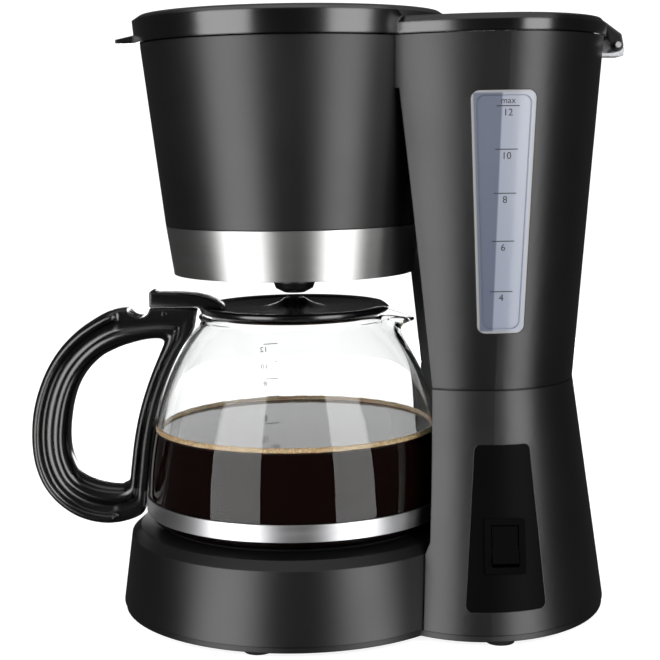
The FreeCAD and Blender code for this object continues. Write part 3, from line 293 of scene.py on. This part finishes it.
# %% Dress the solids
own_finish = {"switch_panel": finishes["switch_black"], "lid": lid_black}
for entry in frame["record"]["subparts"]:
    finish = own_finish.get(entry["node"], finishes.get(entry["material_slot"]))
    if finish:
        for slot in nodes[entry["node"]].material_slots:
            slot.material = finish
print("finished slots:", len(finishes))

# %% [markdown]
# ## Drawing tools
# A line is drawn by extruding one point. Spin takes it round the carafe's axis, for turned pieces;
# filled and pulled along y, it becomes a block with that side view. A finished piece gets its
# finish, the body that it rides on, and the solids that it stands for.

# %% Helpers for drawn pieces
def drawn(name, line, y=0.0):
    """Draw a line of (distance from the carafe's axis, height) in millimetres, by extruding one point."""
    points = [Vector((carafe_axis_x + r / 1000, y / 1000, z / 1000)) for r, z in line]
    bpy.ops.object.select_all(action="DESELECT")
    bpy.ops.mesh.primitive_plane_add(size=0.001, location=(0, 0, 0))
    piece = bpy.context.object
    piece.name = name
    bpy.ops.object.mode_set(mode="EDIT")
    bpy.ops.mesh.select_all(action="SELECT")
    bpy.ops.mesh.merge(type="CENTER")
    bpy.ops.transform.translate(value=points[0])
    for before, after in zip(points, points[1:]):
        bpy.ops.mesh.extrude_region_move(TRANSFORM_OT_translate={"value": after - before})
    bpy.ops.mesh.select_all(action="SELECT")
    return piece


def close_up():
    """Merge what meets, turn the faces outwards and leave edit mode."""
    bpy.ops.mesh.select_all(action="SELECT")
    bpy.ops.mesh.remove_doubles(threshold=1e-5)
    bpy.ops.mesh.normals_make_consistent(inside=False)
    bpy.ops.object.mode_set(mode="OBJECT")


def lathe(name, profile, steps=72):
    piece = drawn(name, profile)
    bpy.ops.mesh.spin(steps=steps, angle=math.tau, center=(carafe_axis_x, 0, 0), axis=(0, 0, 1))
    close_up()
    return piece


def extruded(name, outline, half_width):
    piece = drawn(name, outline, -half_width)
    bpy.ops.mesh.edge_face_add()
    bpy.ops.mesh.extrude_region_move(TRANSFORM_OT_translate={"value": (0, 2 * half_width / 1000, 0)})
    close_up()
    return piece


def modifier(piece, kind, **settings):
    """Add a modifier, set it, apply it and shade the piece smooth."""
    bpy.ops.object.select_all(action="DESELECT")
    piece.select_set(True)
    bpy.context.view_layer.objects.active = piece
    bpy.ops.object.modifier_add(type=kind)
    added = piece.modifiers[-1]
    for key, value in settings.items():
        setattr(added, key, value)
    bpy.ops.object.modifier_apply(modifier=added.name)
    bpy.ops.object.shade_smooth()


def dress(piece, finish, body, slot, *hidden):
    """Give a new piece its finish, its body and the solids that it stands for."""
    piece.data.materials.clear()
    piece.data.materials.append(finish)
    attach(piece, body)
    if hidden:
        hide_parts(*hidden)


print("drawing helpers ready")

# %% [markdown]
# ## Blown glass
# The pot is turned in one piece: up the outside from the middle of the base, over the lip and down
# the inside. The pouring beak is pulled out of the rim, and a little subdivision then gives the
# swelling sides.

# %% The pot
outside = [(0, 48.5), (40, 48.5), (66, 48.5), (75.2, 48.9), (78.6, 51), (79.5, 54.5), (79.6, 60), (79.4, 65),
           (78.4, 77), (76.4, 92), (72.0, 111), (65.8, 127), (59.5, 139), (53.6, 147.6), (50.4, 151.6),
           (49.8, 153.4), (50.7, 155.0), (50.8, 156.2)]
inside = [(49.6, 156.7), (47.4, 156.6), (46.4, 155.4), (46.3, 153.4), (47.2, 150.8), (51.2, 146.0),
          (57.3, 137.7), (63.5, 125.8), (69.5, 110), (73.8, 91.6), (75.8, 77), (76.9, 65), (77.0, 58),
          (76.4, 54), (73.4, 51.6), (66, 51.1), (40, 51), (0, 51)]
beak_half_angle, beak_low_z, beak_height = 0.34, 0.1455, 0.009
beak_reach, beak_drop, beak_spread = 0.0128, 0.0035, 0.2
pot = lathe("carafe_pot", outside + inside)
for vertex in pot.data.vertices:
    x, y, z = vertex.co.x - carafe_axis_x, vertex.co.y, vertex.co.z
    around = math.atan2(y, x)
    beak = max(0.0, 1 - (around / beak_half_angle) ** 2) ** 2
    rise = min(1.0, max(0.0, (z - beak_low_z) / beak_height)) ** 1.5
    pull = beak_reach * beak * rise
    vertex.co.x += pull * math.cos(around)
    vertex.co.y += pull * math.sin(around) * beak_spread
    vertex.co.z -= beak_drop * beak * rise
modifier(pot, "SUBSURF", levels=2, render_levels=2)
clear_glass, shader, place = blank("blown_glass", {"Transmission Weight": 1.0, "IOR": 1.32,
                                                   "Base Color": (0.965, 0.97, 0.97, 1)})
smear = noise(stretched(place, (14, 14, 30)), 1.0, 4.0)
feed(shader, "Roughness", step(smear, 0.45, 0.8) * 0.03)
dress(pot, clear_glass, "carafe", "carafe_clear", "carafe_glass")
print("pot faces", len(pot.data.polygons))

# %% [markdown]
# ## The coffee
# Black coffee fills the pot to a little below half. It is turned from the pot's inside line, a
# little larger, so that it wets the glass with no air between, with a small rise at the edge. It is
# near black in bulk; its surface has a wet shine and is painted a lighter brown, as painted light.

# %% Coffee
coffee_line, wet_and_lit_from_z = 97.0, (0.0955, 0.0966)
fill = [(0, 50.2), (40, 50.2), (66, 50.3), (74.6, 50.9), (77.4, 53.8), (78.2, 58), (78.1, 65), (77.0, 77),
        (75.0, 91.6), (74.2, 96.4), (73.2, coffee_line + 0.4), (71.4, coffee_line), (68, coffee_line - 0.3),
        (40, coffee_line - 0.3), (0, coffee_line - 0.3)]
coffee = lathe("coffee", fill)
modifier(coffee, "SUBSURF", levels=1, render_levels=1)
brew, shader, place = blank("black_coffee", {"Roughness": 0.3, "IOR": 1.02, "Coat IOR": 1.34})
# mask for the top surface: it gives the real wet shine and also the painted light on the top
surface = step(along(place, "Z"), *wet_and_lit_from_z)
swirl = noise(place, 40.0, 3.0)
# painted light: the top surface is mixed towards a lighter brown, over a random swirl of tone
feed(shader, "Base Color", two_tone(surface * 0.6 + swirl * 0.3, (0.0030, 0.0006, 0.0004),
                                    (0.010, 0.005, 0.0035)))
feed(shader, "Coat Weight", surface)
dress(coffee, brew, "carafe", "carafe_clear")
print("coffee to", coffee_line, "mm")

# %% [markdown]
# ## Foam
# A rim of fine golden foam clings to the glass. It is a turned ring with many steps; three waves of
# different length round the ring make it uneven, and a cell pattern makes the bubbles.

# %% Foam
foam_line = [(70.2, coffee_line - 0.3), (70.8, coffee_line + 1.0), (72.0, coffee_line + 1.9),
             (73.2, coffee_line + 2.1), (73.9, coffee_line + 0.6), (73.9, coffee_line - 0.6),
             (72.4, coffee_line - 0.8), (70.2, coffee_line - 0.3)]
# waves round the ring, their phase, and their share of the ripple
ripples = [(37, 0.0, 0.4), (91, 1.3, 0.35), (203, 0.4, 0.25)]
ripple_height = 0.0005
foam = lathe("coffee_foam", foam_line, 240)
for vertex in foam.data.vertices:
    around = math.atan2(vertex.co.y, vertex.co.x - carafe_axis_x)
    ripple = sum(math.sin(around * waves + phase) * share for waves, phase, share in ripples)
    vertex.co.z += ripple_height * ripple
modifier(foam, "SUBSURF", levels=1, render_levels=1)
froth, shader, place = blank("golden_foam", {"Subsurface Weight": 0.3, "Subsurface Scale": 0.001})
bubbles = place.node("TexVoronoi", sockets={"Vector": place, "Scale": 900.0}, out="Distance")
feed(shader, "Base Color", two_tone(step(bubbles, 0.1, 0.7), (0.62, 0.50, 0.32), (0.36, 0.24, 0.11)))
feed(shader, "Roughness", bubbles * 0.3 + 0.2)
feed(shader, "Normal", place.node("Bump", sockets={"Strength": 0.6, "Distance": 0.0004, "Height": bubbles}))
dress(foam, froth, "carafe", "carafe_clear")
print("foam faces", len(foam.data.polygons))

# %% [markdown]
# ## The pot's lid
# A black disc closes the pot: a round rim, a shallow dish and a cone in the middle that the coffee
# runs down. It is turned like the pot, and its rim is let down at the pouring beak. The lever that
# lifts it is a side view drawn once, given its width and then soft edges by a bevel.

# %% Lid and lever
cap_line = [(2.8, 157.0), (2.8, 164.2), (3.4, 164.7), (5.2, 164.7), (6.0, 164.0), (7.6, 162.6), (12.5, 160.6),
            (19, 159.4), (30, 159.0), (40.5, 159.0), (43.4, 159.6), (45.0, 160.6), (46.6, 161.2),
            (48.6, 161.1), (49.8, 160.3), (50.0, 159.2), (49.5, 158.0), (48.4, 157.3), (44.9, 157.1),
            (44.6, 155.4), (43.8, 154.9), (43.0, 155.4), (42.8, 157.0), (20, 157.1), (2.8, 157.0)]
lip_half_angle, rim_from, dish_z = 0.3, 0.042, 0.159
cap = lathe("carafe_cap", cap_line)
for vertex in cap.data.vertices:
    x, y = vertex.co.x - carafe_axis_x, vertex.co.y
    at_lip = max(0.0, 1 - (math.atan2(y, x) / lip_half_angle) ** 2)
    if math.hypot(x, y) > rim_from and vertex.co.z > dish_z:
        vertex.co.z -= (vertex.co.z - dish_z) * at_lip
modifier(cap, "SUBSURF", levels=1, render_levels=1)
dress(cap, finishes["gloss_black"], "carafe", "gloss_black", "carafe_lid")
lever_line = [(-36.5, 159.7), (-38.2, 161.6), (-41.5, 163.9), (-46, 165.8), (-52, 167.2), (-60, 167.9),
              (-72.9, 168.2), (-73.6, 169.3), (-75.2, 169.4), (-75.8, 168.6), (-75.8, 161.1), (-50.9, 161.1),
              (-49.6, 159.7)]
lever_half_width, soft_edge, crease = 8.0, 0.0007, math.radians(40)
lever = extruded("carafe_lever", lever_line, lever_half_width)
modifier(lever, "BEVEL", width=soft_edge, segments=3, limit_method="ANGLE")
bpy.ops.object.shade_smooth_by_angle(angle=crease)
dress(lever, finishes["gloss_black"], "carafe", "gloss_black")
print("lid faces", len(cap.data.polygons), "lever faces", len(lever.data.polygons))

# %% [markdown]
# ## The handle's outlines
# The handle is one glossy moulding: a D-shaped loop with a round bead along its outside, another
# along the finger hole and a groove between them. Towards the lid and the strap it turns into a
# flat block. It is given by two outlines in pairs of points, and by two sections.

# %% Outlines and sections
# outside of the loop and edge of the finger hole, in pairs from the lid's corner round the grip
handle_lines = [
    (-51.5, 160.3, -69.4, 142.8), (-60.7, 160.6, -71.7, 144.0), (-70.2, 160.6, -77.4, 143.8),
    (-79.8, 160.6, -83.5, 142.6), (-88.5, 160.5, -89.6, 140.8), (-96.4, 159.4, -95.8, 138.3),
    (-106.1, 154.5, -101.6, 135.3), (-116.0, 147.6, -107.8, 129.9), (-125.1, 138.1, -112.7, 123.5),
    (-131.6, 127.6, -116.0, 116.8), (-136.3, 116.1, -118.3, 109.1), (-139.0, 105.5, -119.7, 101.3),
    (-140.1, 95.6, -120.5, 93.3), (-140.0, 85.8, -120.3, 86.1), (-138.5, 76.3, -119.0, 80.3),
    (-134.9, 66.8, -116.5, 74.4), (-128.6, 58.1, -112.9, 70.6), (-119.6, 50.9, -107.9, 68.2),
    (-110.0, 47.0, -102.6, 66.7), (-100.3, 45.7, -97.8, 66.0), (-92.0, 46.9, -93.4, 65.9),
    (-85.6, 49.0, -90.5, 67.2), (-81.6, 52.0, -89.2, 69.9), (-80.8, 58.5, -88.4, 75.8),
    (-79.3, 70.5, -87.3, 83.8), (-78.1, 81.3, -86.2, 91.0), (-76.4, 92.9, -84.4, 99.8),
    (-74.3, 102.2, -82.2, 108.3), (-71.0, 114.2, -79.5, 116.6), (-65.9, 127.0, -76.2, 125.4),
    (-60.0, 138.4, -72.9, 133.2), (-53.1, 148.4, -70.4, 139.0), (-51.2, 157.2, -69.4, 141.4),
]
# the section: share of the way from outside to hole, and depth, with the bead and without it
across = [0.0, 0.03, 0.09, 0.16, 0.23, 0.28, 0.32, 0.43, 0.54, 0.58, 0.65, 0.75, 0.86, 0.95, 1.0]
beaded = [5.0, 9.2, 11.3, 11.9, 11.3, 9.8, 8.6, 8.2, 8.6, 9.8, 10.9, 11.2, 10.2, 7.6, 3.5]
plain = [7.4, 8.6, 8.8, 8.8, 8.8, 8.8, 8.8, 8.6] + beaded[8:]
bead_first, bead_last, per_span = 4.7, 19.3, 4
notch_x, notch_z, notch_radius = -81.6, 161.9, 6.2


def between(points, place):
    """Catmull-Rom curve through a closed list of points; place counts points along it."""
    first = int(place)
    share = place - first
    a, b, c, d = [Vector(points[(first + k) % len(points)]) for k in (-1, 0, 1, 2)]
    return b + (c - a) * 0.5 * share + (a * 2 - b * 5 + c * 4 - d) * 0.5 * share ** 2 + (
        (b - c) * 3 + d - a) * 0.5 * share ** 3


print("handle of", len(handle_lines), "pairs and", len(across), "points a side")

# %% [markdown]
# ## The handle
# A torus already has the right weave of faces, so each of its rings is pulled to its place between
# the two outlines and takes the depth of the section there. Last, a cylinder cuts the half-round
# notch that lets the lid's lever swing back.

# %% Handle
rings, weave = len(handle_lines) * per_span, 2 * len(across)
bpy.ops.object.select_all(action="DESELECT")
bpy.ops.mesh.primitive_torus_add(major_segments=rings, minor_segments=weave, location=(0, 0, 0))
handle = bpy.context.object
handle.name = "carafe_grip"
for ring in range(rings):
    place = ring / per_span
    x0, z0, x1, z1 = between(handle_lines, place)
    depths = beaded if bead_first < place < bead_last else plain
    front = [(x0 + (x1 - x0) * share, -depth, z0 + (z1 - z0) * share) for share, depth in zip(across, depths)]
    back = [(x, -y, z) for x, y, z in reversed(front)]
    for vertex, (x, y, z) in enumerate(front + back):
        handle.data.vertices[ring * weave + vertex].co = (carafe_axis_x + x / 1000, y / 1000, z / 1000)
bpy.ops.object.mode_set(mode="EDIT")
bpy.ops.mesh.select_all(action="SELECT")
bpy.ops.mesh.normals_make_consistent(inside=False)
bpy.ops.object.mode_set(mode="OBJECT")
modifier(handle, "SUBSURF", levels=1, render_levels=1)
bpy.ops.object.select_all(action="DESELECT")
bpy.ops.mesh.primitive_cylinder_add(vertices=64, radius=notch_radius / 1000, depth=0.04,
                                    location=(carafe_axis_x + notch_x / 1000, 0, notch_z / 1000),
                                    rotation=(math.pi / 2, 0, 0))
cutter = bpy.context.object
modifier(handle, "BOOLEAN", operation="DIFFERENCE", object=cutter, solver="EXACT")
bpy.ops.object.shade_smooth_by_angle(angle=crease)
bpy.data.objects.remove(cutter)
dress(handle, finishes["gloss_black"], "carafe", "gloss_black", "carafe_handle")
for slot in nodes["carafe_lid_pin"].material_slots:
    slot.material = finishes["gloss_black"]
print("handle faces", len(handle.data.polygons))

# %% [markdown]
# ## Printing tools
# A printed mark starts as flat text or a flat strip a little off the wall that it belongs to, and
# Shrinkwrap lays it on that wall. Ink is matt and a little uneven.

# %% Helpers for marks
ink_thickness = 0.00006


def ink_finish(name, dark, light):
    material, shader, place = blank(name, {"IOR": 1.45})
    patch = noise(place, 700.0)
    feed(shader, "Base Color", two_tone(patch, dark, light))
    feed(shader, "Roughness", patch * 0.2 + 0.4)
    return material


def flat_strip(name, middle, half_length, half_thickness):
    """A thin upright strip facing the front, divided so that it can bend."""
    bpy.ops.object.select_all(action="DESELECT")
    bpy.ops.mesh.primitive_grid_add(x_subdivisions=12, y_subdivisions=1, size=1)
    strip = bpy.context.object
    strip.name = name
    strip.scale = (2 * half_length, 2 * half_thickness, 1)
    strip.rotation_euler = (math.pi / 2, 0, 0)
    strip.location = middle
    bpy.ops.object.transform_apply()
    return strip


def flat_text(name, words, size, place, turn=0.0):
    bpy.ops.object.select_all(action="DESELECT")
    bpy.ops.object.text_add(location=place, rotation=(math.pi / 2, 0, turn))
    text = bpy.context.object
    text.data.body = words
    text.data.size = size
    text.data.align_x = "CENTER"
    bpy.ops.object.convert(target="MESH")
    text = bpy.context.object
    text.name = name
    bpy.ops.object.transform_apply()
    return text


def lay_on(piece, target, towards_back=True):
    """Project a flat mark along y onto a surface, just proud of it."""
    modifier(piece, "SHRINKWRAP", target=target, wrap_method="PROJECT", use_project_x=False,
             use_project_y=True, use_project_z=False, use_positive_direction=towards_back,
             use_negative_direction=not towards_back, offset=ink_thickness)


print("printing helpers ready")

# %% [markdown]
# ## Level marks
# The tank window carries short lines with plain numbers under them. They follow the lean of the
# pane.

# %% Marks on the window
ink = ink_finish("grey_ink", (0.010, 0.010, 0.011), (0.018, 0.018, 0.020))
mark_x, mark_front_y, mark_lean, top_line_z = 0.104 + carafe_axis_x, -0.085, 0.022, 0.2615
line_heights = {"12": top_line_z, "10": 0.2411, "8": 0.2201, "6": 0.1969, "4": 0.1721}
line_half, line_half_thick, number_size, number_drop = 0.0055, 0.00022, 0.0047, 0.0046
top_word_size, top_word_rise = 0.0042, 0.0012
marks = []
for number, z in line_heights.items():
    x = mark_x + (z - top_line_z) * mark_lean
    marks.append(flat_strip("mark_line_" + number, (x, mark_front_y, z), line_half, line_half_thick))
    marks.append(flat_text("mark_number_" + number, number, number_size, (x, mark_front_y, z - number_drop)))
marks.append(flat_text("mark_top", "max", top_word_size, (mark_x, mark_front_y, top_line_z + top_word_rise)))
for mark in marks:
    lay_on(mark, nodes["level_window"])
    dress(mark, ink, "body", "window_clear")
print("marks", len(marks), "at y", round(min(v.co.y for v in marks[0].data.vertices), 4))

# %% [markdown]
# ## Cup marks on the pot
# The pot carries a thin scale on its far wall, printed to be read from the other side, so from the
# front it shows mirrored and faint. The same helpers make it; this time they look the other way.

# %% Scale on the glass
pale_ink = ink_finish("pale_ink", (0.16, 0.16, 0.165), (0.22, 0.22, 0.225))
scale_x, scale_back_y = carafe_axis_x - 0.016, 0.088
cup_heights = {"12": 0.1330, "10": 0.1215, "8": 0.1100, "6": 0.0990}
cup_half, cup_half_thick, cup_number_size = 0.004, 0.0002, 0.0045
cup_marks = []
for number, z in cup_heights.items():
    cup_marks.append(flat_strip("cup_line_" + number, (scale_x, scale_back_y, z), cup_half, cup_half_thick))
    cup_marks.append(flat_text("cup_number_" + number, number, cup_number_size,
                               (scale_x - cup_half, scale_back_y, z - number_drop), math.pi))
for mark in cup_marks:
    lay_on(mark, pot, towards_back=False)
    dress(mark, pale_ink, "carafe", "carafe_clear")
print("cup marks", len(cup_marks), "at y", round(max(v.co.y for v in cup_marks[0].data.vertices), 4))

# %% [markdown]
# ## The drip stop's spring
# A coil closes the drip stop: a small circle wound up by a Screw modifier, between the bowl and the
# basket's floor. The stop's stroke is listed, but the coil is not squashed by it.

# %% Spring
spring_low, spring_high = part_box("drip_spring")
wire_radius, coil_turns, stroke = 0.0005, 4, 0.0028
spring_length = spring_high.z - spring_low.z
coil_radius = (spring_high.x - spring_low.x) / 2 - wire_radius
bpy.ops.object.select_all(action="DESELECT")
bpy.ops.mesh.primitive_circle_add(vertices=10, radius=wire_radius, location=(coil_radius, 0, 0),
                                  rotation=(math.pi / 2, 0, 0))
coil = bpy.context.object
coil.name = "drip_coil"
bpy.ops.object.transform_apply()
modifier(coil, "SCREW", screw_offset=(spring_length - 2 * wire_radius) / coil_turns, iterations=coil_turns,
         steps=24, render_steps=24)
coil.location = (carafe_axis_x, 0, spring_low.z + wire_radius)
bpy.ops.object.transform_apply()
bpy.ops.object.mode_set(mode="EDIT")
bpy.ops.mesh.select_all(action="SELECT")
bpy.ops.mesh.fill_holes(sides=0)
close_up()
dress(coil, finishes["fixing_steel"], "body", "fixing_steel", "drip_spring")
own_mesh(coil)
print("coil of", coil_turns, "turns,", round(spring_length * 1000, 2), "mm long")

# %% [markdown]
# ## The sweep
# A pale round sweep closes the scene behind and below: a disc with a tall wall and a wide bend
# between. It is kept out of mirror reflections, so that the black walls stay black.

# %% Floor
sweep_radius, sweep_height, sweep_bend = 2.6, 2.8, 1.2
bpy.ops.object.select_all(action="DESELECT")
bpy.ops.mesh.primitive_circle_add(vertices=96, radius=sweep_radius, fill_type="NGON", location=(0, 0, 0))
sweep = bpy.context.object
sweep.name = "studio_sweep"
bpy.ops.object.mode_set(mode="EDIT")
bpy.ops.mesh.select_mode(type="EDGE")
bpy.ops.mesh.select_all(action="SELECT")
bpy.ops.mesh.region_to_loop()
bpy.ops.mesh.extrude_region_move(TRANSFORM_OT_translate={"value": (0, 0, sweep_height)})
bpy.ops.object.mode_set(mode="OBJECT")
modifier(sweep, "BEVEL", width=sweep_bend, segments=12, limit_method="ANGLE")
pale, shader, place = blank("pale_paper", {"Emission Color": (1, 1, 1, 1), "Emission Strength": 0.86})
tooth = noise(place, 8.0)
feed(shader, "Base Color", two_tone(tooth, (0.30, 0.30, 0.30), (0.33, 0.33, 0.33)))
feed(shader, "Roughness", tooth * 0.1 + 0.8)
sweep.data.materials.append(pale)
sweep.visible_glossy = False
print("sweep of", sweep_radius, "m")

# %% [markdown]
# ## The lights
# Two tall soft boxes stand left and right of the camera, with a dark gap between them; they draw
# the paired upright highlights on every round wall. Two dim boxes, behind the machine and over it,
# hardly show in the picture: they give form to the back and the top.

# %% Soft boxes
def soft_box(name, place, tilt, size, glow, through_glass):
    """A flat lamp of even radiance that the camera itself never sees."""
    bpy.ops.object.select_all(action="DESELECT")
    bpy.ops.object.light_add(type="AREA", location=place, rotation=tilt)
    lamp = bpy.context.object
    lamp.name = name
    lamp.data.shape = "RECTANGLE"
    lamp.data.size, lamp.data.size_y = size
    lamp.data.energy = glow * math.pi * size[0] * size[1]
    lamp.visible_camera = False
    lamp.visible_transmission = through_glass


box_far, box_middle_z, box_height, box_glow = 1.0, 0.15, 1.5, 5.5
for name, degrees, box_width in (("left_box", -46, 0.70), ("right_box", 42.5, 0.56)):
    box_turn = math.radians(degrees)
    box_place = (math.sin(box_turn) * box_far, -math.cos(box_turn) * box_far, box_middle_z)
    soft_box(name, box_place, (math.pi / 2, 0, box_turn), (box_width, box_height), box_glow, True)
soft_box("back_box", (0, 1.0, 0.09), (-math.pi / 2, 0, 0), (0.6, 0.2), 6.0, False)
soft_box("top_box", (0, 0.1, 1.3), (0, 0, 0), (1.6, 1.6), 0.7, False)
world = bpy.data.worlds.new("dim_studio")
world.use_nodes = True
world.node_tree.nodes["Background"].inputs["Color"].default_value = (0.05, 0.05, 0.05, 1)
bpy.context.scene.world = world
print("two soft boxes of radiance", box_glow, "and two dim ones")
